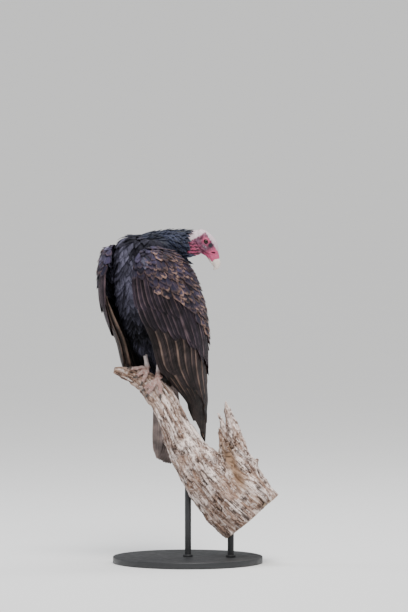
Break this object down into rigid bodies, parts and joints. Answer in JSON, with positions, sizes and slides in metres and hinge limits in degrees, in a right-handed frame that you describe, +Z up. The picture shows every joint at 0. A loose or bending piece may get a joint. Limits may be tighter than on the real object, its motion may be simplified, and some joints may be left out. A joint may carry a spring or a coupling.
{
  "type": "turkey vulture model",
  "caption": "Life-size turkey vulture hunched on a broken dead branch, wings hung like a cloak and head turned over its left shoulder, on a round display stand.",
  "frame": {"origin": "centre of the underside of the stand's round base, which is where the part rests", "axes": "+Z up and along the longest extent; the bird's breast faces -Y and its left wing is towards +X; its head is turned towards +X and +Y"},
  "size_m": [0.3779, 0.33, 0.7342],
  "materials": {
    "dark_feathers": "blue-black body feathers, softly glossy",
    "brown_feathers": "dark brown flight feathers and coverts with paler tan edges",
    "bare_head": "wrinkled bare red to purple skin, whitish over the nape",
    "bill": "smooth ivory horn",
    "eye": "wet dark brown",
    "scaled_skin": "scaled dull pinkish skin, chalky on the shank",
    "claw_horn": "dark horn",
    "dead_wood": "weathered grey-tan bark and bare splintered wood",
    "stand_metal": "satin black paint"
  },
  "bodies": {
    "root": {"trunk": "dark_feathers", "neck": "dark_feathers", "head": "bare_head", "bill_upper": "bill", "bill_lower": "bill", "eye_left": "eye", "eye_right": "eye", "wing_left_coverts": "brown_feathers", "wing_left_secondaries": "brown_feathers", "wing_left_primaries": "brown_feathers", "wing_right_coverts": "brown_feathers", "wing_right_secondaries": "brown_feathers", "wing_right_primaries": "brown_feathers", "tail": "brown_feathers", "thigh_left": "dark_feathers", "shank_left": "scaled_skin", "foot_left": "scaled_skin", "thigh_right": "dark_feathers", "shank_right": "scaled_skin", "foot_right": "scaled_skin", "claw_left_1": "claw_horn", "claw_left_2": "claw_horn", "claw_left_3": "claw_horn", "claw_left_4": "claw_horn", "claw_right_1": "claw_horn", "claw_right_2": "claw_horn", "claw_right_3": "claw_horn", "claw_right_4": "claw_horn", "perch_branch": "dead_wood", "stand_base": "stand_metal", "stand_rod_tall": "stand_metal", "stand_rod_short": "stand_metal"}
  },
  "joints": []
}
